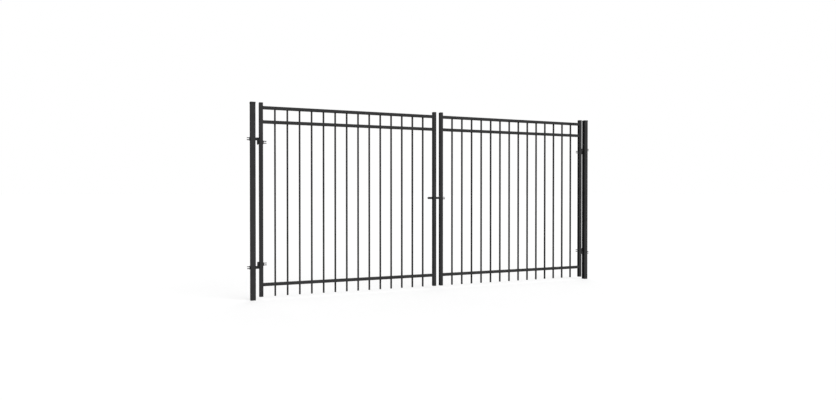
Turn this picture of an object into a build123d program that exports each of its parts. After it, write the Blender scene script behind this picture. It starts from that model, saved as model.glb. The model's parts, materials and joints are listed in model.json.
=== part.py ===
import os

from build123d import *

# Posts, with the ground at their feet
post_width = 50.8
post_wall = 2.5
post_corner = 3.0
post_length = 1992.7
post_foot_plate = 4.0

# Leaf outline
leaf_width = 1971.8
leaf_lift = 31.0
leaf_gap = 46.5
stile_width = 38.1
stile_wall = 2.0
stile_corner = 2.5
stile_length = 1960.0

# Rails, inverted channels with a punched web
rail_width = 31.75
rail_height = 31.75
rail_wall = 2.0
rail_corner = 2.0
bottom_rail_rise = 122.0
top_rail_drop = 46.6
rail_spacing = 143.2

# Pickets
picket_pitch = 127.0
picket_width = 15.9
picket_wall = 1.2
picket_end_bay = 100.0
picket_hole_clearance = 0.3

# Caps
cap_plug_depth = 14.0
cap_plug_wall = 1.5
cap_plug_clearance = 0.2
cap_corner_cut = 1.4
post_cap_thickness = 4.0
post_cap_skirt = 12.0
post_cap_wall = 1.2
post_cap_clearance = 0.2
post_cap_chamfer = 1.5
stile_cap_band = 1.5
stile_cap_dome = 4.0
stile_cap_taper = 30.0

# Hinges
lower_hinge_height = 361.0
upper_hinge_height = 1595.5
pin_to_post = 25.5
pin_to_stile = 12.0
pin_diameter = 10.0
pin_clearance = 0.1
pin_end_length = 12.0
knuckle_diameter = 18.0
knuckle_height = 30.0
knuckle_gap = 0.5
web_width = 14.0
seat_thickness = 3.0
pintle_seat_width = 18.0
eye_seat_width = 28.0

# Studs of the hinges
stud_diameter = 10.0
stud_spacing = 19.0
stud_hole_clearance = 0.5
post_stud_reach = 32.0
stile_stud_reach = 36.0

# Latch
latch_height = 1026.0
bar_height = 25.0
bar_thickness = 10.0
bar_reach = 62.0
bar_tip_gap = 6.5
bar_tip_chamfer = 3.0
bar_slot_clearance = 0.4
keeper_clearance = 1.5
keeper_wall = 2.0
keeper_seat_clearance = 0.2
keeper_reach = 28.5

# Places worked out from the sizes above
pin_x = post_width / 2 + pin_to_post
hinge_stile_x = pin_x + pin_to_stile + stile_width / 2
latch_stile_x = hinge_stile_x + leaf_width - stile_width
middle_x = latch_stile_x + stile_width / 2 + leaf_gap / 2
leaf_top = leaf_lift + stile_length
top_rail_z = leaf_top - top_rail_drop
second_rail_z = top_rail_z - rail_spacing
bottom_rail_z = leaf_lift + bottom_rail_rise
picket_top = top_rail_z + rail_height / 2 - rail_wall
picket_run = leaf_width - 2 * stile_width - 2 * picket_end_bay
picket_count = int(picket_run // picket_pitch) + 1
first_picket_x = (hinge_stile_x + latch_stile_x - (picket_count - 1) * picket_pitch) / 2
picket_places = [first_picket_x + i * picket_pitch for i in range(picket_count)]
pintle_drop = knuckle_height + knuckle_gap
bar_slot_height = bar_height + 2 * bar_slot_clearance
bar_slot_width = bar_thickness + 2 * bar_slot_clearance
keeper_inner_height = bar_height + 2 * keeper_clearance
keeper_inner_width = bar_thickness + 2 * keeper_clearance
keeper_height = keeper_inner_height + 2 * keeper_wall
keeper_width = keeper_inner_width + 2 * keeper_wall
bar_left = latch_stile_x - stile_width / 2 - bar_reach
bar_right = latch_stile_x + stile_width / 2 + leaf_gap - bar_tip_gap
cut_margin = 1.0


# A square tube that stands on z = 0, with rounded outer edges.
def square_tube(width, wall, corner, length):
    outline = RectangleRounded(width, width, corner)
    hollow = Rectangle(width - 2 * wall, width - 2 * wall)
    return extrude(outline - hollow, length)


# A rod along X from x = start to x = end.
def rod_along_x(diameter, start, end):
    rod = Cylinder(diameter / 2, end - start, rotation=(0, 90, 0))
    return Pos((start + end) / 2, 0, 0) * rod


# A block given by its centre height and its ends along X.
def block_along_x(start, end, width, height):
    return Pos((start + end) / 2, 0, 0) * Box(end - start, width, height)


# The two places of a hinge half's studs, above and below its middle.
def stud_heights(middle):
    return [middle - stud_spacing / 2, middle + stud_spacing / 2]


# Two drilled holes for the studs of one hinge half, through a whole tube.
def stud_holes(start, end, middle):
    diameter = stud_diameter + 2 * stud_hole_clearance
    drill = rod_along_x(diameter, start - cut_margin, end + cut_margin)
    return [Pos(0, 0, z) * drill for z in stud_heights(middle)]


# A post from the ground up, closed by a plate at its foot and drilled for two pintles.
def post():
    tube = square_tube(post_width, post_wall, post_corner, post_length)
    inside = post_width - 2 * post_wall
    foot = extrude(Rectangle(inside, inside), post_foot_plate)
    body = tube + foot
    lower = lower_hinge_height - pintle_drop
    upper = upper_hinge_height + pintle_drop
    for middle in [lower, upper]:
        body -= stud_holes(-post_width / 2, post_width / 2, middle)
    return body


# The square outline of a cap, with its corners cut off.
def cap_outline(width):
    square = Rectangle(width, width)
    return chamfer(square.vertices(), cap_corner_cut)


# The flat cap of a post, with a chamfered top edge and a skirt that slips over the tube.
def post_cap():
    inside = post_width + 2 * post_cap_clearance
    outside = inside + 2 * post_cap_wall
    outline = cap_outline(outside)
    plate = extrude(outline, post_cap_thickness)
    plate = chamfer(plate.faces().sort_by(Axis.Z)[-1].edges(), post_cap_chamfer)
    skirt = extrude(outline - Rectangle(inside, inside), -post_cap_skirt)
    return Pos(0, 0, post_length) * (plate + skirt)


# The hollow plug that holds a cap in its tube, hanging below z = 0.
def cap_plug(tube_width, tube_wall):
    outer = tube_width - 2 * tube_wall - 2 * cap_plug_clearance
    inner = outer - 2 * cap_plug_wall
    ring = Rectangle(outer, outer) - Rectangle(inner, inner)
    return extrude(ring, -cap_plug_depth)


# The domed cap of a stile, as wide as the tube, with sloped sides over a straight band.
def stile_cap(x):
    outline = cap_outline(stile_width)
    band = extrude(outline, stile_cap_band)
    dome = extrude(outline, stile_cap_dome, taper=stile_cap_taper)
    plate = band + Pos(0, 0, stile_cap_band) * dome
    return Pos(x, 0, leaf_top) * (plate + cap_plug(stile_width, stile_wall))


# A stile of a leaf, open at its lower end.
def stile(x):
    tube = square_tube(stile_width, stile_wall, stile_corner, stile_length)
    return Pos(x, 0, leaf_lift) * tube


# The stile beside the post, drilled for the studs of two eyes.
def hinge_stile():
    body = stile(hinge_stile_x)
    near = hinge_stile_x - stile_width / 2
    far = hinge_stile_x + stile_width / 2
    for middle in [lower_hinge_height, upper_hinge_height]:
        body -= stud_holes(near, far, middle)
    return body


# The stile in the middle of the gateway, slotted through for the latch.
def latch_stile(slot_width, slot_height):
    near = latch_stile_x - stile_width / 2 - cut_margin
    far = latch_stile_x + stile_width / 2 + cut_margin
    slot = Pos(0, 0, latch_height) * block_along_x(near, far, slot_width, slot_height)
    return stile(latch_stile_x) - slot


# An inverted channel between the two stiles, with its web on top.
def rail(height, punched):
    start = hinge_stile_x + stile_width / 2
    end = latch_stile_x - stile_width / 2
    outline = RectangleRounded(rail_width, rail_height, rail_corner)
    square_foot = Pos(0, -rail_height / 4) * Rectangle(rail_width, rail_height / 2)
    inside = Rectangle(rail_width - 2 * rail_wall, rail_height)
    section = outline + square_foot - Pos(0, -rail_wall) * inside
    channel = extrude(Plane.YZ * section, end - start)
    channel = Pos(start, 0, height) * channel
    if punched:
        side = picket_width + 2 * picket_hole_clearance
        web = height + rail_height / 2 - rail_wall / 2
        punch = Box(side, side, rail_wall + 2 * cut_margin)
        channel -= [Pos(x, 0, web) * punch for x in picket_places]
    return channel


# The row of square-edged pickets, which end under the web of the top rail.
def pickets():
    inside = picket_width - 2 * picket_wall
    section = Rectangle(picket_width, picket_width) - Rectangle(inside, inside)
    tube = extrude(section, picket_top - leaf_lift)
    return Compound([Pos(x, 0, leaf_lift) * tube for x in picket_places])


# Turns a hinge half made for the lower hinge into the one for the upper hinge.
def placed_hinge(piece, is_upper):
    if is_upper:
        return Pos(pin_x, 0, upper_hinge_height) * piece.mirror(Plane.XY)
    return Pos(pin_x, 0, lower_hinge_height) * piece


# The post's half of a hinge: a barrel and its pin on a web, seated on the post, with two studs.
# Its pin points up, and z = 0 is the middle of the eye that turns on it.
def pintle():
    body = Cylinder(knuckle_diameter / 2, knuckle_height)
    body += block_along_x(-pin_to_post, 0, web_width, knuckle_height)
    seat_end = seat_thickness - pin_to_post
    body += block_along_x(-pin_to_post, seat_end, pintle_seat_width, knuckle_height)
    stud = rod_along_x(stud_diameter, -pin_to_post - post_width - post_stud_reach, seat_end)
    body += [Pos(0, 0, z) * stud for z in stud_heights(0)]
    pin_length = knuckle_height / 2 + knuckle_gap + knuckle_height + pin_end_length
    body += extrude(Circle(pin_diameter / 2), pin_length)
    return Pos(0, 0, -pintle_drop) * body


# The leaf's half of a hinge: an eye on a web, seated on the stile, with two studs.
def eye():
    body = Cylinder(knuckle_diameter / 2, knuckle_height)
    seat_start = pin_to_stile - seat_thickness
    body += block_along_x(0, pin_to_stile, web_width, knuckle_height)
    body += block_along_x(seat_start, pin_to_stile, eye_seat_width, knuckle_height)
    body -= Cylinder(pin_diameter / 2 + pin_clearance, knuckle_height + 2 * cut_margin)
    stud = rod_along_x(stud_diameter, seat_start, pin_to_stile + stile_width + stile_stud_reach)
    body += [Pos(0, 0, z) * stud for z in stud_heights(0)]
    return body


# The flat bar of the latch, drawn back, with a round left end and a chamfered tip.
def latch_bar():
    round_x = bar_left + bar_height / 2
    straight = block_along_x(round_x, bar_right, bar_thickness, bar_height)
    straight = chamfer(straight.faces().sort_by(Axis.X)[-1].edges(), bar_tip_chamfer)
    end = Cylinder(bar_height / 2, bar_thickness, rotation=(90, 0, 0))
    return Pos(0, 0, latch_height) * (straight + Pos(round_x, 0, 0) * end)


# The sleeve through the other leaf's latch stile that the bar slides into.
# It is made on the left leaf's side, like every piece that is mirrored.
def keeper():
    near = latch_stile_x + stile_width / 2
    far = latch_stile_x - stile_width / 2 - keeper_reach
    sleeve = block_along_x(far, near, keeper_width, keeper_height)
    hollow = block_along_x(
        far - cut_margin, near + cut_margin, keeper_inner_width, keeper_inner_height
    )
    return Pos(0, 0, latch_height) * (sleeve - hollow)


# The mirror image of a left-hand piece, on the other side of the gateway.
def on_the_right(piece):
    return piece.mirror(Plane(origin=(middle_x, 0, 0), z_dir=(1, 0, 0)))


# The pieces that both sides of the gateway have, by the end of their names.
def side_pieces():
    pieces = {
        "post": post(),
        "post_cap": post_cap(),
        "hinge_stile": hinge_stile(),
        "hinge_stile_cap": stile_cap(hinge_stile_x),
        "latch_stile_cap": stile_cap(latch_stile_x),
        "top_rail": rail(top_rail_z, False),
        "second_rail": rail(second_rail_z, True),
        "bottom_rail": rail(bottom_rail_z, True),
        "pickets": pickets(),
    }
    for place, is_upper in [("lower", False), ("upper", True)]:
        pieces[place + "_pintle"] = placed_hinge(pintle(), is_upper)
        pieces[place + "_eye"] = placed_hinge(eye(), is_upper)
    return pieces


# Every node of the gate, by name.
def gate():
    nodes = {}
    for name, piece in side_pieces().items():
        nodes["left_" + name] = piece
        nodes["right_" + name] = on_the_right(piece)
    nodes["left_latch_stile"] = latch_stile(bar_slot_width, bar_slot_height)
    seat = 2 * keeper_seat_clearance
    slotted = latch_stile(keeper_width + seat, keeper_height + seat)
    nodes["right_latch_stile"] = on_the_right(slotted)
    nodes["latch_bar"] = latch_bar()
    nodes["latch_keeper"] = on_the_right(keeper())
    return nodes


os.makedirs("parts", exist_ok=True)
for node_name, node_shape in gate().items():
    export_step(node_shape, "parts/" + node_name + ".step")
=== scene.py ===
import json
import math

import bpy
import bmesh
from mathutils import Matrix, Vector, noise


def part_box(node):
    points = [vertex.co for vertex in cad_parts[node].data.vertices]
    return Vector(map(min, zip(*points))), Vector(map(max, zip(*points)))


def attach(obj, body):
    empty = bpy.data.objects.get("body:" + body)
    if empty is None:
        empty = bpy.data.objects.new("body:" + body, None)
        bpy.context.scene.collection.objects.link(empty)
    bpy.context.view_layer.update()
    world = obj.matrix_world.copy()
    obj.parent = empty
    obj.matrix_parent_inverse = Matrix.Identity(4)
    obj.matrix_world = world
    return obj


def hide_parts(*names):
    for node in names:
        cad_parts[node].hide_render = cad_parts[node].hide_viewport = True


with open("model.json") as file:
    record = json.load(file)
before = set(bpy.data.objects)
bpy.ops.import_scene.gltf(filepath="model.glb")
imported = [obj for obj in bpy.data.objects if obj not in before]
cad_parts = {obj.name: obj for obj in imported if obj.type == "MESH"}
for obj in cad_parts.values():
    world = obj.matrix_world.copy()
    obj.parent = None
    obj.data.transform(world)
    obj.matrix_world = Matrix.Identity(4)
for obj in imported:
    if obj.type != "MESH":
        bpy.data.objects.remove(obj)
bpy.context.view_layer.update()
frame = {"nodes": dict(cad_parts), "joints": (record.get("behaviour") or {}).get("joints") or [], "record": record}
print("gate: frame loaded with", len(frame["nodes"]), "nodes")


def putInScene(name, data):
    item = bpy.data.objects.new(name, data)
    bpy.context.scene.collection.objects.link(item)
    return item


# camera first, at the photograph's angle
cameraSetup = {
    "place": (-1.092, -6.622, 1.076),      # metres, in the gate's own frame
    "turnRight": 23.71,                    # degrees from straight through the gateway
    "tiltDown": 0.573,
    "lens": 27.82,                         # mm, on a sensor of the width below
    "sensor": 36.0,
    "farthest": 400.0,
}


def placeCamera(setup):
    data = bpy.data.cameras.new("gateCamera")
    data.sensor_width = setup["sensor"]
    data.lens = setup["lens"]
    data.clip_end = setup["farthest"]
    camera = putInScene("gateCamera", data)
    camera.location = setup["place"]
    tilt = math.radians(90.0 - setup["tiltDown"])
    camera.rotation_euler = (tilt, 0.0, -math.radians(setup["turnRight"]))
    bpy.context.scene.camera = camera


# soft studio: a broad lamp from the front right, a weaker one from behind, pale floor
studio = {
    "lamps": {                     # towards: the way the light travels; spread in degrees
        "keyLamp": {"towards": (-0.42, 0.72, -0.55), "spread": 50.0, "power": 3.9},
        "backLamp": {"towards": (-0.35, -0.75, -0.55), "spread": 60.0, "power": 3.0},
    },
    "ambient": 0.24,               # what the surroundings add to the gate
    "background": 1.0,             # and how bright they are seen
    "floorReach": 400.0,
    "floorBounce": 0.18,           # grey of the floor as it lights the gate
    "floorColour": 0.21,           # grey and glow of the floor as it is seen
    "floorLift": 0.72,
}


def addLamp(name, lamp):
    data = bpy.data.lights.new(name, "SUN")
    data.angle = math.radians(lamp["spread"])
    data.energy = lamp["power"]
    sun = putInScene(name, data)
    sun.rotation_euler = Vector(lamp["towards"]).to_track_quat("-Z", "Y").to_euler()


def seenRays(tree):
    # 1 for rays that show the background: camera, glossy and transmission
    path = tree.nodes.new("ShaderNodeLightPath")
    seen = path.outputs["Is Camera Ray"]
    for kind in ("Is Glossy Ray", "Is Transmission Ray"):
        either = tree.nodes.new("ShaderNodeMath")
        either.operation = "MAXIMUM"
        tree.links.new(seen, either.inputs[0])
        tree.links.new(path.outputs[kind], either.inputs[1])
        seen = either.outputs[0]
    return seen


def pickByRay(tree, lighting, shown):
    # one shader for the light that reaches the gate, another for what is seen
    mix = tree.nodes.new("ShaderNodeMixShader")
    tree.links.new(seenRays(tree), mix.inputs["Fac"])
    tree.links.new(lighting, mix.inputs[1])
    tree.links.new(shown, mix.inputs[2])
    return mix.outputs[0]


def whiteBackground(tree, strength):
    node = tree.nodes.new("ShaderNodeBackground")
    node.inputs["Color"].default_value = (1.0, 1.0, 1.0, 1.0)
    node.inputs["Strength"].default_value = strength
    return node.outputs[0]


def greyDiffuse(tree, grey):
    node = tree.nodes.new("ShaderNodeBsdfDiffuse")
    node.inputs["Color"].default_value = (grey, grey, grey, 1.0)
    return node.outputs[0]


def makeWorld(setup):
    world = bpy.data.worlds.new("studioWorld")
    world.use_nodes = True
    tree = world.node_tree
    tree.nodes.clear()
    ambient = whiteBackground(tree, setup["ambient"])
    background = whiteBackground(tree, setup["background"])
    output = tree.nodes.new("ShaderNodeOutputWorld")
    tree.links.new(pickByRay(tree, ambient, background), output.inputs["Surface"])
    bpy.context.scene.world = world


def makeFloorMaterial(setup):
    material = bpy.data.materials.new("paleFloor")
    material.use_nodes = True
    tree = material.node_tree
    tree.nodes.clear()
    lift = tree.nodes.new("ShaderNodeEmission")
    lift.inputs["Strength"].default_value = setup["floorLift"]
    pale = tree.nodes.new("ShaderNodeAddShader")
    tree.links.new(greyDiffuse(tree, setup["floorColour"]), pale.inputs[0])
    tree.links.new(lift.outputs[0], pale.inputs[1])
    bounce = greyDiffuse(tree, setup["floorBounce"])
    output = tree.nodes.new("ShaderNodeOutputMaterial")
    tree.links.new(pickByRay(tree, bounce, pale.outputs[0]), output.inputs["Surface"])
    return material


def makeFloor(setup):
    reach = setup["floorReach"]
    corners = [(-reach, -reach, 0), (reach, -reach, 0), (reach, reach, 0), (-reach, reach, 0)]
    mesh = bpy.data.meshes.new("floor")
    mesh.from_pydata(corners, [], [(0, 1, 2, 3)])
    mesh.materials.append(makeFloorMaterial(setup))
    putInScene("floor", mesh)


placeCamera(cameraSetup)
makeWorld(studio)
makeFloor(studio)
for lampName, lampSetup in studio["lamps"].items():
    addLamp(lampName, lampSetup)
bpy.context.scene.view_settings.view_transform = "Standard"
print("gate: camera, floor and lamps in place")


# finishes: satin powder coat, dark plated fasteners, zinc on the keeper
# a field is noise: waves per metre, octaves, and the span of its values that is used
coatLook = {
    "colour": (0.034, 0.034, 0.0345),
    # lighter colour of the random specks, and of the painted sheen on faces that look up
    "speckAndSheenColour": (0.075, 0.073, 0.069),
    "edgeColour": (0.05, 0.05, 0.05),
    "capTone": 0.85,               # where a piece is darker than the colour
    "hingeTone": 0.80,
    "picketTone": 0.75,
    "toneDrift": 0.14,             # how far the colour wanders either way
    "roughness": (0.50, 0.64),
    "specular": 0.008,
    "drift": {"scale": 5.0, "detail": 4.0, "span": (0.30, 0.70)},
    "peel": {"scale": 700.0, "detail": 2.0},
    "peelDepth": 0.00012,          # orange peel of the powder
    "peelStrength": 0.7,
    "specks": {"scale": 520.0, "detail": 3.0, "span": (0.64, 0.78)},
    "speckShare": 0.28,
    # painted sheen: faces that look up are made lighter in patches, a reflection of the light painted into the
    # colour
    "topSheen": {"scale": 38.0, "detail": 5.0, "span": (0.32, 0.62)},
    "topSheenShare": (0.1375, 0.55),   # painted sheen, thinnest and thickest, on faces that look up
    "levelSpan": (0.55, 0.95),     # how level a face is for the painted sheen to show on it
    "edgeRadius": 0.0012,
    "edgeSpan": (0.97, 0.80),      # cosines of how far a face turns within that radius
    "edgeShare": 0.45,
}
metalLook = {
    "fastenerColour": (0.055, 0.055, 0.058),
    "keeperColour": (0.22, 0.22, 0.225),
    "darkest": 0.72,               # the colour wanders between these shares of itself
    "lightest": 1.25,
    "roughness": (0.30, 0.52),
    "drift": {"scale": 60.0, "detail": 4.0, "span": (0.30, 0.70)},
    "grain": {"scale": 900.0, "detail": 3.0, "span": (0.25, 0.75)},
    "grainDepth": 0.00003,
    "grainStrength": 0.5,
}


def newMaterial(name):
    material = bpy.data.materials.new(name)
    material.use_nodes = True
    tree = material.node_tree
    return material, tree, tree.nodes["Principled BSDF"]


def objectCoords(tree):
    coords = tree.nodes.new("ShaderNodeTexCoord")
    return coords.outputs["Object"]


def noiseField(tree, vector, field):
    node = tree.nodes.new("ShaderNodeTexNoise")
    node.inputs["Scale"].default_value = field["scale"]
    node.inputs["Detail"].default_value = field["detail"]
    tree.links.new(vector, node.inputs["Vector"])
    return node.outputs["Fac"]


def remap(tree, value, span, toLow=0.0, toHigh=1.0):
    node = tree.nodes.new("ShaderNodeMapRange")
    node.inputs["From Min"].default_value = span[0]
    node.inputs["From Max"].default_value = span[1]
    node.inputs["To Min"].default_value = toLow
    node.inputs["To Max"].default_value = toHigh
    tree.links.new(value, node.inputs["Value"])
    return node.outputs["Result"]


def shade(colour, amount):
    return tuple(min(1.0, channel * amount) for channel in colour)


def mixColour(tree, factor, first, second):
    node = tree.nodes.new("ShaderNodeMix")
    node.data_type = "RGBA"
    tree.links.new(factor, node.inputs["Factor"])
    # sockets 6 and 7 take the colours, and output 2 gives the mix
    for socket, value in ((node.inputs[6], first), (node.inputs[7], second)):
        if isinstance(value, tuple):
            socket.default_value = value + (1.0,)
        else:
            tree.links.new(value, socket)
    return node.outputs[2]


def times(tree, first, second):
    node = tree.nodes.new("ShaderNodeMath")
    node.operation = "MULTIPLY"
    tree.links.new(first, node.inputs[0])
    tree.links.new(second, node.inputs[1])
    return node.outputs[0]


def addBump(tree, shader, height, distance, strength):
    bump = tree.nodes.new("ShaderNodeBump")
    bump.inputs["Distance"].default_value = distance
    bump.inputs["Strength"].default_value = strength
    tree.links.new(height, bump.inputs["Height"])
    tree.links.new(bump.outputs["Normal"], shader.inputs["Normal"])


def facingUp(tree, span):
    # 1 on level faces that look at the sky, 0 on walls
    geometry = tree.nodes.new("ShaderNodeNewGeometry")
    split = tree.nodes.new("ShaderNodeSeparateXYZ")
    tree.links.new(geometry.outputs["Normal"], split.inputs["Vector"])
    return remap(tree, split.outputs["Z"], span)


def edgeMask(tree, radius, span):
    # 1 close to an edge of the mesh, 0 on the open faces
    bevel = tree.nodes.new("ShaderNodeBevel")
    bevel.inputs["Radius"].default_value = radius
    geometry = tree.nodes.new("ShaderNodeNewGeometry")
    dot = tree.nodes.new("ShaderNodeVectorMath")
    dot.operation = "DOT_PRODUCT"
    tree.links.new(bevel.outputs["Normal"], dot.inputs[0])
    tree.links.new(geometry.outputs["Normal"], dot.inputs[1])
    return remap(tree, dot.outputs["Value"], span)


def satinCoat(name, look, tone=1.0):
    material, tree, shader = newMaterial(name)
    coords = objectCoords(tree)
    drift = noiseField(tree, coords, look["drift"])
    dark = shade(look["colour"], tone * (1 - look["toneDrift"]))
    light = shade(look["colour"], tone * (1 + look["toneDrift"]))
    base = mixColour(tree, remap(tree, drift, look["drift"]["span"]), dark, light)
    specks = noiseField(tree, coords, look["specks"])
    specks = remap(tree, specks, look["specks"]["span"], 0.0, look["speckShare"])
    base = mixColour(tree, specks, base, look["speckAndSheenColour"])
    # painted sheen: faces that look up are lightened in patches
    topSheen = noiseField(tree, coords, look["topSheen"])
    topSheen = remap(tree, topSheen, look["topSheen"]["span"], *look["topSheenShare"])
    topSheen = times(tree, facingUp(tree, look["levelSpan"]), topSheen)
    base = mixColour(tree, topSheen, base, look["speckAndSheenColour"])
    worn = edgeMask(tree, look["edgeRadius"], look["edgeSpan"])
    worn = remap(tree, worn, (0.0, 1.0), 0.0, look["edgeShare"])
    base = mixColour(tree, worn, base, look["edgeColour"])
    tree.links.new(base, shader.inputs["Base Color"])
    rough = remap(tree, drift, look["drift"]["span"], *look["roughness"])
    tree.links.new(rough, shader.inputs["Roughness"])
    shader.inputs["Specular IOR Level"].default_value = look["specular"]
    peel = noiseField(tree, coords, look["peel"])
    addBump(tree, shader, peel, look["peelDepth"], look["peelStrength"])
    return material


def platedSteel(name, look, colour):
    material, tree, shader = newMaterial(name)
    coords = objectCoords(tree)
    drift = noiseField(tree, coords, look["drift"])
    dark = shade(colour, look["darkest"])
    light = shade(colour, look["lightest"])
    base = mixColour(tree, remap(tree, drift, look["drift"]["span"]), dark, light)
    tree.links.new(base, shader.inputs["Base Color"])
    grain = noiseField(tree, coords, look["grain"])
    rough = remap(tree, grain, look["grain"]["span"], *look["roughness"])
    tree.links.new(rough, shader.inputs["Roughness"])
    shader.inputs["Metallic"].default_value = 1.0
    addBump(tree, shader, grain, look["grainDepth"], look["grainStrength"])
    return material


finishes = {                       # by the record's material slots
    "post_coat": satinCoat("postCoat", coatLook),
    "leaf_coat": satinCoat("leafCoat", coatLook),
    "cap_coat": satinCoat("capCoat", coatLook, coatLook["capTone"]),
    "hinge_steel": satinCoat("hingeCoat", coatLook, coatLook["hingeTone"]),
    "latch_steel": satinCoat("latchCoat", coatLook),
    "fastener_steel": platedSteel("blackZinc", metalLook, metalLook["fastenerColour"]),
    "keeper_zinc": platedSteel("dullZinc", metalLook, metalLook["keeperColour"]),
}
picketFinish = satinCoat("picketCoat", coatLook, coatLook["picketTone"])

for subpart in frame["record"]["subparts"]:
    node = frame["nodes"][subpart["node"]]
    node.data.materials.clear()
    node.data.materials.append(finishes[subpart["material_slot"]])
print("gate: finishes made")


# shapes that several pieces are made of; lengths are metres, each built along its own Z
def roundedOutline(width, depth, corner, steps):
    # anticlockwise, from the upper end of the right side
    points = []
    for quarter, (sideX, sideY) in enumerate(((1, 1), (-1, 1), (-1, -1), (1, -1))):
        centreX = sideX * (width / 2 - corner)
        centreY = sideY * (depth / 2 - corner)
        for step in range(steps + 1):
            angle = math.radians(90 * (quarter + step / steps))
            points.append((centreX + corner * math.cos(angle), centreY + corner * math.sin(angle)))
    return points


def circleOutline(radius, steps):
    turn = 2 * math.pi / steps
    return [(radius * math.cos(i * turn), radius * math.sin(i * turn)) for i in range(steps)]


def insetOutline(points, amount, sharpest=0.3):
    # every point moves inwards, square to the outline there, and not too far at a sharp corner
    moved = []
    for i, point in enumerate(points):
        here = Vector(point)
        before = (here - Vector(points[i - 1])).normalized()
        after = (Vector(points[(i + 1) % len(points)]) - here).normalized()
        inward = Vector((-(before.y + after.y), before.x + after.x)).normalized()
        reach = amount / max(sharpest, inward.dot(Vector((-after.y, after.x))))
        moved.append(tuple(here + inward * reach))
    return moved


def raised(outline, z):
    return [(x, y, z) for x, y in outline]


def skin(mesh, rings, place, loop=False):
    # a surface through rings of as many points, closed at both ends or joined in a loop
    rows = [[mesh.verts.new(place @ Vector(point)) for point in ring] for ring in rings]
    pairs = list(zip(rows, rows[1:]))
    if loop:
        pairs.append((rows[-1], rows[0]))
    for low, high in pairs:
        for i in range(len(low)):
            j = (i + 1) % len(low)
            mesh.faces.new((low[i], low[j], high[j], high[i]))
    if not loop:
        mesh.faces.new(list(reversed(rows[0])))
        mesh.faces.new(rows[-1])


def edgeSteps(edge, steps):
    # (inset, height) pairs round a quarter circle, from an end face to the side
    pairs = []
    for step in range(steps + 1):
        angle = math.radians(90 * step / steps)
        pairs.append((edge * (1 - math.sin(angle)), edge * (1 - math.cos(angle))))
    return pairs


def bothEnds(edge, steps, length):
    # the same pairs at the foot of a length, then at its top
    foot = edgeSteps(edge, steps)
    return foot + [(inset, length - height) for inset, height in reversed(foot)]


def bevelledPrism(mesh, outline, length, edge, place, steps=2):
    rings = [raised(insetOutline(outline, inset), z) for inset, z in bothEnds(edge, steps, length)]
    skin(mesh, rings, place)


def hollowPrism(mesh, outer, inner, length, edge, place, steps=2):
    rings = [raised(insetOutline(outer, inset), z) for inset, z in bothEnds(edge, steps, length)]
    rings += [raised(inner, length), raised(inner, 0.0)]
    skin(mesh, rings, place, loop=True)


def lathe(mesh, profile, steps, place, loop=False):
    # profile is (radius, height) pairs
    rings = [raised(circleOutline(radius, steps), height) for radius, height in profile]
    skin(mesh, rings, place, loop=loop)


def towards(axis, sign):
    # turns local Z into a world axis
    aim = Vector([sign if letter == axis else 0 for letter in "XYZ"])
    return aim.to_track_quat("Z", "Y").to_matrix().to_4x4()


def newPiece(name, mesh, body, slot, replaced=None, material=None, sharpAngle=32.0):
    bmesh.ops.recalc_face_normals(mesh, faces=mesh.faces)
    data = bpy.data.meshes.new(name)
    mesh.to_mesh(data)
    mesh.free()
    data.shade_smooth()
    data.set_sharp_from_angle(angle=math.radians(sharpAngle))
    data.materials.append(material or finishes[slot])
    piece = putInScene(name, data)
    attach(piece, body)
    if replaced:
        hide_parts(replaced)


sides = {"left": 1, "right": -1}     # which way the leaf lies from its post, along X


# pickets: square tubes with rounded corners, open at the foot
picketShape = {
    "pitch": 0.127,
    "wall": 0.0012,
    "corner": 0.0018,
    "cornerSteps": 4,
    "endEdge": 0.0003,
}


def makePickets(side, shape):
    low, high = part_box(side + "_pickets")
    width = high.y - low.y
    bays = round((high.x - low.x - width) / shape["pitch"])
    outer = roundedOutline(width, width, shape["corner"], shape["cornerSteps"])
    inner = insetOutline(outer, shape["wall"])
    mesh = bmesh.new()
    for bay in range(bays + 1):
        foot = Vector((low.x + width / 2 + bay * shape["pitch"], 0.0, low.z))
        hollowPrism(mesh, outer, inner, high.z - low.z, shape["endEdge"], Matrix.Translation(foot))
    name = side + "PicketTubes"
    newPiece(name, mesh, side + "_leaf", "leaf_coat", side + "_pickets", material=picketFinish)


for side in sides:
    makePickets(side, picketShape)
print("gate: pickets made")


# caps: flat and a little proud on the posts, domed on the stiles
def capTop(side, tube):
    # seat, width and height of the part of a cap that shows above its tube
    low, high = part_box(side + "_" + tube + "_cap")
    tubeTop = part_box(side + "_" + tube)[1].z
    return Vector(((low.x + high.x) / 2, 0.0, tubeTop)), high.x - low.x, high.z - tubeTop


postCapShape = {
    "corner": 0.0040,
    "cornerSteps": 6,
    "wall": 0.0012,                # of the skirt
    "skirtEdge": 0.0004,
    "topEdge": 0.0015,
    "topSteps": 4,
}


def makePostCap(side, shape):
    # a pressed cap: inside and lower lip of its skirt, then its outside and its top
    seat, width, height = capTop(side, "post")
    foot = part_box(side + "_post_cap")[0].z - seat.z
    wall = shape["wall"]
    lip = shape["skirtEdge"]
    levels = [(wall, 0.0), (wall, foot), (lip, foot), (0.0, foot + lip)]
    for inset, drop in reversed(edgeSteps(shape["topEdge"], shape["topSteps"])):
        levels.append((inset, height - drop))
    outline = roundedOutline(width, width, shape["corner"], shape["cornerSteps"])
    rings = [raised(insetOutline(outline, inset), z) for inset, z in levels]
    mesh = bmesh.new()
    skin(mesh, rings, Matrix.Translation(seat))
    newPiece(side + "PostCapPlate", mesh, "posts", "cap_coat", side + "_post_cap")


stileCapShape = {
    "corner": 0.0025,
    "cornerGrowth": 0.6,           # as a share of how far the dome has moved in
    "cornerSteps": 6,
    "band": 0.0015,                # upright rim below the dome
    "domeRise": 0.00344,
    "domeInset": 0.0045,
    "domeSteps": 5,
    "crownShares": (0.72, 0.42, 0.12),     # rings of the crown, which flattens inwards
    "crownSquareness": 0.3,
}


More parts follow.
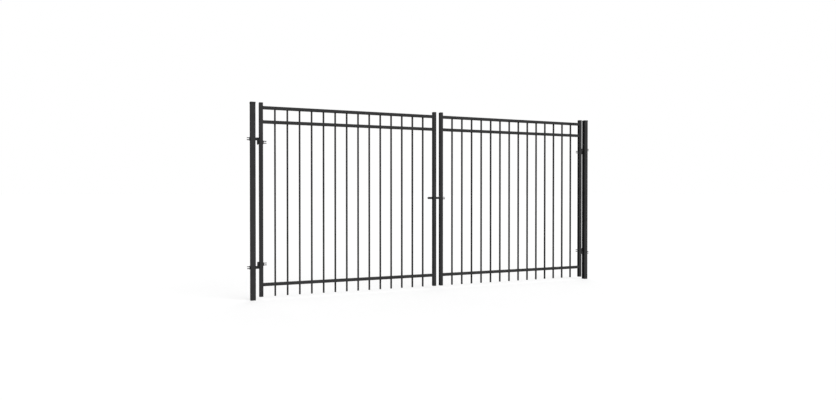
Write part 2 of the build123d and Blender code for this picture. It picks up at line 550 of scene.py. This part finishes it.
def makeStileCap(side, stile, shape):
    # a rim, a quarter-round dome, then a crown that is rounder towards the middle
    seat, width, height = capTop(side, stile)
    squares = [(width, shape["corner"], 0.0)]      # size, corner and height of each ring
    for step in range(shape["domeSteps"] + 1):
        angle = math.radians(90 * step / shape["domeSteps"])
        inset = shape["domeInset"] * (1 - math.cos(angle))
        z = shape["band"] + shape["domeRise"] * math.sin(angle)
        squares.append((width - 2 * inset, shape["corner"] + shape["cornerGrowth"] * inset, z))
    domeSize, _, domeTop = squares[-1]
    for share in shape["crownShares"]:
        size = domeSize * share
        corner = size * (0.5 - shape["crownSquareness"] * share)
        squares.append((size, corner, height - (height - domeTop) * share ** 2))
    steps = shape["cornerSteps"]
    rings = [raised(roundedOutline(size, size, corner, steps), z) for size, corner, z in squares]
    mesh = bmesh.new()
    skin(mesh, rings, Matrix.Translation(seat))
    title = side + stile.title().replace("_", "") + "CapDome"
    newPiece(title, mesh, side + "_leaf", "cap_coat", side + "_" + stile + "_cap")


for side in sides:
    makePostCap(side, postCapShape)
    for stileName in ("hinge_stile", "latch_stile"):
        makeStileCap(side, stileName, stileCapShape)
print("gate: caps made")


# weld beads, swept along a path with the ripple of a hand-held torch
weldShape = {
    "railBead": 0.0022,
    "railCorner": 0.002,           # the bead follows the rail's rounded corners
    "cornerSteps": 4,
    "hingeBead": 0.0017,
    "endGap": 0.001,               # from the end of the seam to the end of the bead
    "ripplePitch": 0.0026,
    "rippleDepth": 0.13,
    "samplesPerRipple": 5,
    "sides": 10,
    "taperStart": 0.45,            # a bead starts thin and gains this much a sample
    "taperGain": 0.11,
    "wander": 0.10,
    "wanderScale": 180.0,
    "wanderShift": 5000.0,         # sets thick and thin beads apart in the noise
    "sharpAngle": 60.0,
}


def walkPath(points, stepLength):
    # evenly spaced places along a path, with the direction there
    places = []
    for start, end in zip(points, points[1:]):
        count = max(1, round((end - start).length / stepLength))
        places += [(start.lerp(end, i / count), (end - start).normalized()) for i in range(count)]
    places.append((points[-1], (points[-1] - points[-2]).normalized()))
    return places


def weldBead(mesh, points, radius, shape):
    places = walkPath([Vector(p) for p in points], shape["ripplePitch"] / shape["samplesPerRipple"])
    rings = []
    travelled = 0.0
    for i, (spot, ahead) in enumerate(places):
        if i:
            travelled += (spot - places[i - 1][0]).length
            ahead = (ahead + places[i - 1][1]).normalized()
        ripple = 1 - shape["rippleDepth"] * abs(math.sin(math.pi * travelled / shape["ripplePitch"]))
        fromEnd = min(i, len(places) - 1 - i)
        taper = min(1.0, shape["taperStart"] + shape["taperGain"] * fromEnd)
        sample = Vector((travelled * shape["wanderScale"], radius * shape["wanderShift"], 0.0))
        wander = 1 + shape["wander"] * noise.noise(sample)
        turn = ahead.to_track_quat("Z", "X").to_matrix()
        ring = raised(circleOutline(radius * ripple * taper * wander, shape["sides"]), 0.0)
        rings.append([spot + turn @ Vector(point) for point in ring])
    skin(mesh, rings, Matrix.Identity(4))


def railEndPath(x, low, high, shape):
    # up the front leg, over the web and down the back leg of a rail
    corner = shape["railCorner"]
    centreZ = high.z - corner
    path = [(x, low.y, low.z + shape["endGap"])]
    for centreY, start in ((low.y + corner, 180), (high.y - corner, 90)):
        for step in range(shape["cornerSteps"] + 1):
            angle = math.radians(start - 90 * step / shape["cornerSteps"])
            path.append((x, centreY + corner * math.cos(angle), centreZ + corner * math.sin(angle)))
    path.append((x, high.y, low.z + shape["endGap"]))
    return path


def makeRailWelds(side, shape):
    mesh = bmesh.new()
    for railName in ("top_rail", "second_rail", "bottom_rail"):
        low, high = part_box(side + "_" + railName)
        for x in (low.x, high.x):
            weldBead(mesh, railEndPath(x, low, high, shape), shape["railBead"], shape)
    name = side + "RailWelds"
    newPiece(name, mesh, side + "_leaf", "leaf_coat", sharpAngle=shape["sharpAngle"])


for side in sides:
    makeRailWelds(side, weldShape)
print("gate: rail welds made")


# fasteners: threaded studs with their nuts and washers
fastenerShape = {
    "studDiameter": 0.010,
    "studSpacing": 0.019,
    "studSink": 0.0015,            # how far the studs reach into the seat
    "threadPitch": 0.0015,
    "threadDepth": 0.00065,
    "threadSides": 28,
    "threadSamples": 4,            # rings for each pitch
    "threadOverlap": 0.001,        # of the pin's thread, inside the eye
    "nutFlats": 0.016,
    "nutHeight": 0.008,
    "nutFace": 0.475,              # radius of its flat face, as a share of the flats
    "nutCone": 30.0,               # degrees
    "nutSteps": 72,
    "countersink": 0.0006,
    "pinNutGap": 0.001,
    "washerDiameter": 0.0185,
    "washerThickness": 0.0018,
    "washerEdge": 0.00036,
    "washerSteps": 48,
}


def threadedEnd(mesh, radius, length, shape, place):
    # a helical V thread with a chamfered tip, standing on local z = 0
    pitch = shape["threadPitch"]
    depth = shape["threadDepth"]
    perTurn = shape["threadSides"]
    rows = int(length / pitch * shape["threadSamples"])
    rings = []
    for row in range(rows + 1):
        z = length * row / rows
        chamfer = depth * (1 - min(1.0, (length - z) / pitch))
        ring = []
        for i in range(perTurn):
            phase = (z / pitch - i / perTurn) % 1.0
            groove = depth * (1 - abs(2 * phase - 1))
            r = radius - max(groove, chamfer)
            angle = 2 * math.pi * i / perTurn
            ring.append((r * math.cos(angle), r * math.sin(angle), z))
        rings.append(ring)
    skin(mesh, rings, place)


def hexNut(mesh, bore, shape, place):
    # a hexagon cut by a cone at both ends, with a countersunk bore
    height = shape["nutHeight"]
    face = shape["nutFlats"] * shape["nutFace"]
    slope = math.tan(math.radians(shape["nutCone"]))
    lowEdge, highEdge = [], []
    for i in range(shape["nutSteps"]):
        angle = 2 * math.pi * i / shape["nutSteps"]
        fromFlat = (angle + math.pi / 6) % (math.pi / 3) - math.pi / 6
        radius = shape["nutFlats"] / 2 / math.cos(fromFlat)
        drop = (radius - face) * slope
        lowEdge.append((radius * math.cos(angle), radius * math.sin(angle), drop))
        highEdge.append((radius * math.cos(angle), radius * math.sin(angle), height - drop))
    sink = shape["countersink"]
    hole = circleOutline(bore, shape["nutSteps"])
    mouth = circleOutline(bore + sink, shape["nutSteps"])
    rim = circleOutline(face, shape["nutSteps"])
    rings = [raised(hole, sink), raised(mouth, 0.0), raised(rim, 0.0), lowEdge, highEdge]
    rings += [raised(rim, height), raised(mouth, height), raised(hole, height - sink)]
    skin(mesh, rings, place, loop=True)


def washer(mesh, bore, shape, place):
    edge = shape["washerEdge"]
    outer = shape["washerDiameter"] / 2
    thickness = shape["washerThickness"]
    profile = [(bore, 0.0), (outer - edge, 0.0), (outer, edge)]
    profile += [(outer, thickness - edge), (outer - edge, thickness), (bore, thickness)]
    lathe(mesh, profile, shape["washerSteps"], place, loop=True)


def studSet(mesh, nearX, farX, endX, middleZ, shape):
    # two studs through a tube, with washer, nut and threaded end at its far face
    radius = shape["studDiameter"] / 2
    shank = abs(nearX - farX) + shape["studSink"]
    lift = Matrix.Translation((0.0, 0.0, shape["washerThickness"]))
    for z in (middleZ - shape["studSpacing"] / 2, middleZ + shape["studSpacing"] / 2):
        base = Matrix.Translation((farX, 0.0, z)) @ towards("X", math.copysign(1, endX - farX))
        washer(mesh, radius, shape, base)
        hexNut(mesh, radius, shape, base @ lift)
        threadedEnd(mesh, radius, abs(endX - farX), shape, base)
        lathe(mesh, [(radius, -shank), (radius, 0.0)], shape["threadSides"], base)


# hinges: a pintle seated on the post and an eye on the stile, each on two of the studs
hingeShape = {
    "barrelDiameter": 0.018,
    "barrelHeight": 0.030,
    "barrelEdge": 0.0009,
    "barrelEdgeSteps": 3,
    "roundSteps": 48,
    "boreDiameter": 0.0102,
    "pinDiameter": 0.010,
    "pinThread": 0.012,            # length of the pin that is left to its thread
    "webWidth": 0.014,
    "webSetback": 0.0006,
    "webStart": 0.0045,            # from the pin's axis, inside the barrel
    "webOverlap": 0.001,           # shared by the ends of the web, into seat and barrel
    "plateEdge": 0.0006,
    "plateSteps": 2,
    "seatThickness": 0.003,
    "pintleSeat": 0.018,
    "eyeSeat": 0.028,
}


def hingeHalf(mesh, seatX, seatWidth, shape, bead):
    # web, seat and their welds; seatX is the seat's outer face, from the pin's axis
    outward = math.copysign(1, seatX)
    height = shape["barrelHeight"]
    edge = shape["plateEdge"]
    base = Matrix.Translation((0.0, 0.0, -height / 2))

    seatInner = abs(seatX) - shape["seatThickness"]
    seatOutline = roundedOutline(shape["seatThickness"], seatWidth, edge, shape["plateSteps"])
    seatMiddle = outward * (abs(seatX) - shape["seatThickness"] / 2)
    seatPlace = Matrix.Translation((seatMiddle, 0.0, 0.0))
    webHeight = height - 2 * shape["webSetback"]
    webLength = seatInner - shape["webStart"] + shape["webOverlap"]
    webOutline = roundedOutline(webLength, shape["webWidth"], edge, shape["plateSteps"])
    webMiddle = outward * (seatInner + shape["webStart"]) / 2
    webPlace = Matrix.Translation((webMiddle, 0.0, shape["webSetback"]))
    bevelledPrism(mesh, webOutline, webHeight, edge, base @ webPlace)
    bevelledPrism(mesh, seatOutline, height, edge, base @ seatPlace)

    halfWeb = shape["webWidth"] / 2
    reach = webHeight / 2 - bead["endGap"]
    barrelX = outward * math.sqrt((shape["barrelDiameter"] / 2) ** 2 - halfWeb ** 2)
    for y in (-halfWeb, halfWeb):
        for x in (barrelX, outward * seatInner):
            weldBead(mesh, [(x, y, -reach), (x, y, reach)], bead["hingeBead"], bead)


def barrelProfile(shape):
    radius = shape["barrelDiameter"] / 2
    ends = bothEnds(shape["barrelEdge"], shape["barrelEdgeSteps"], shape["barrelHeight"])
    return [(radius - inset, z) for inset, z in ends]


def alongLeaf(node, leafward):
    # a node's two ends in X, the one nearer to the outside of the gate first
    low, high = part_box(node)
    return (low.x, high.x) if leafward > 0 else (high.x, low.x)


def hingePlaces(side, level, shape):
    # one hinge's names, its pin and barrels, and the tube faces and stud ends beside it
    node = side + "_" + level
    leafward = sides[side]
    upward = 1 if level == "lower" else -1      # the upper hinge is the lower one mirrored
    swing = next(joint for joint in frame["joints"] if joint["name"] == side + "_leaf_swing")
    eyeLow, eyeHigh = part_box(node + "_eye")
    pintleLow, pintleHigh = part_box(node + "_pintle")
    half = shape["barrelHeight"] / 2
    postFar, postNear = alongLeaf(side + "_post", leafward)
    stileNear, stileFar = alongLeaf(side + "_hinge_stile", leafward)
    return {
        "node": node,
        "title": side + level.title(),
        "leaf": side + "_leaf",
        "upward": upward,
        "pinX": swing["pos_m"][0],
        "pinEnd": pintleHigh.z if upward > 0 else pintleLow.z,
        "pintleZ": pintleLow.z + half if upward > 0 else pintleHigh.z - half,
        "eyeZ": (eyeLow.z + eyeHigh.z) / 2,
        "postNear": postNear,
        "postFar": postFar,
        "postStudEnd": alongLeaf(node + "_pintle", leafward)[0],
        "stileNear": stileNear,
        "stileFar": stileFar,
        "stileStudEnd": alongLeaf(node + "_eye", leafward)[1],
    }


def makePintle(hinge, shape, bead):
    # the post's half, with its pin
    mesh = bmesh.new()
    hingeHalf(mesh, hinge["postNear"] - hinge["pinX"], shape["pintleSeat"], shape, bead)
    base = Matrix.Translation((0.0, 0.0, -shape["barrelHeight"] / 2))
    lathe(mesh, barrelProfile(shape), shape["roundSteps"], base)
    radius = shape["pinDiameter"] / 2
    shank = abs(hinge["pinEnd"] - hinge["pintleZ"]) - shape["pinThread"]
    upright = towards("Z", hinge["upward"])
    lathe(mesh, [(radius, 0.0), (radius, shank)], shape["roundSteps"], upright)
    mesh.transform(Matrix.Translation((hinge["pinX"], 0.0, hinge["pintleZ"])))
    newPiece(hinge["title"] + "Pintle", mesh, "posts", "hinge_steel", hinge["node"] + "_pintle")


def makeEye(hinge, shape, bead):
    # the leaf's half, with its bore
    mesh = bmesh.new()
    hingeHalf(mesh, hinge["stileNear"] - hinge["pinX"], shape["eyeSeat"], shape, bead)
    base = Matrix.Translation((0.0, 0.0, -shape["barrelHeight"] / 2))
    bore = shape["boreDiameter"] / 2
    profile = [(bore, 0.0)] + barrelProfile(shape) + [(bore, shape["barrelHeight"])]
    lathe(mesh, profile, shape["roundSteps"], base, loop=True)
    mesh.transform(Matrix.Translation((hinge["pinX"], 0.0, hinge["eyeZ"])))
    newPiece(hinge["title"] + "Eye", mesh, hinge["leaf"], "hinge_steel", hinge["node"] + "_eye")


def makePostFasteners(hinge, shape, fasteners):
    # two studs through the post, and the lock nut on the pin's thread
    mesh = bmesh.new()
    faces = hinge["postNear"], hinge["postFar"], hinge["postStudEnd"]
    studSet(mesh, *faces, hinge["pintleZ"], fasteners)
    upward = hinge["upward"]
    upright = towards("Z", upward)
    radius = shape["pinDiameter"] / 2
    overlap = fasteners["threadOverlap"]
    eyeEnd = hinge["eyeZ"] + upward * shape["barrelHeight"] / 2
    nutSeat = Matrix.Translation((hinge["pinX"], 0.0, eyeEnd + upward * fasteners["pinNutGap"]))
    hexNut(mesh, radius, fasteners, nutSeat @ upright)
    threadFoot = Matrix.Translation((hinge["pinX"], 0.0, eyeEnd - upward * overlap))
    threadLength = abs(hinge["pinEnd"] - eyeEnd) + overlap
    threadedEnd(mesh, radius, threadLength, fasteners, threadFoot @ upright)
    newPiece(hinge["title"] + "PostFasteners", mesh, "posts", "fastener_steel")


def makeLeafFasteners(hinge, fasteners):
    mesh = bmesh.new()
    faces = hinge["stileNear"], hinge["stileFar"], hinge["stileStudEnd"]
    studSet(mesh, *faces, hinge["eyeZ"], fasteners)
    newPiece(hinge["title"] + "LeafFasteners", mesh, hinge["leaf"], "fastener_steel")


for side in sides:
    for level in ("lower", "upper"):
        hinge = hingePlaces(side, level, hingeShape)
        makePintle(hinge, hingeShape, weldShape)
        makeEye(hinge, hingeShape, weldShape)
        makePostFasteners(hinge, hingeShape, fastenerShape)
        makeLeafFasteners(hinge, fastenerShape)
print("gate: hinges made")


# latch: a flat bar with a round end, and the sleeve that takes it
latchBarShape = {
    "tipChamfer": 0.003,
    "edge": 0.0009,
    "edgeSteps": 3,
    "roundSteps": 20,
}


def makeLatchBar(shape):
    low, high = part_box("latch_bar")
    radius = (high.z - low.z) / 2
    tip = shape["tipChamfer"]
    outline = [(high.x, -radius + tip), (high.x, radius - tip), (high.x - tip, radius)]
    for step in range(shape["roundSteps"] + 1):
        angle = math.radians(90 + 180 * step / shape["roundSteps"])
        outline.append((low.x + radius + radius * math.cos(angle), radius * math.sin(angle)))
    outline.append((high.x - tip, -radius))
    mesh = bmesh.new()
    upright = Matrix.Rotation(math.radians(90), 4, "X")     # the outline stands in the XZ plane
    place = Matrix.Translation((0.0, high.y, (low.z + high.z) / 2)) @ upright
    bevelledPrism(mesh, outline, high.y - low.y, shape["edge"], place, shape["edgeSteps"])
    newPiece("latchSlideBar", mesh, "latch_bolt", "latch_steel", "latch_bar")


keeperShape = {
    "wall": 0.002,
    "corner": 0.0022,
    "cornerSteps": 5,
    "endEdge": 0.0004,
}


def makeKeeper(shape):
    low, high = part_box("latch_keeper")
    height, depth = high.z - low.z, high.y - low.y
    outer = roundedOutline(height, depth, shape["corner"], shape["cornerSteps"])
    inner = insetOutline(outer, shape["wall"])
    mesh = bmesh.new()
    lengthwise = Matrix.Rotation(math.radians(90), 4, "Y")
    place = Matrix.Translation((low.x, 0.0, (low.z + high.z) / 2)) @ lengthwise
    hollowPrism(mesh, outer, inner, high.x - low.x, shape["endEdge"], place)
    newPiece("latchKeeperSleeve", mesh, "right_leaf", "keeper_zinc", "latch_keeper")


makeLatchBar(latchBarShape)
makeKeeper(keeperShape)
print("gate: latch made")
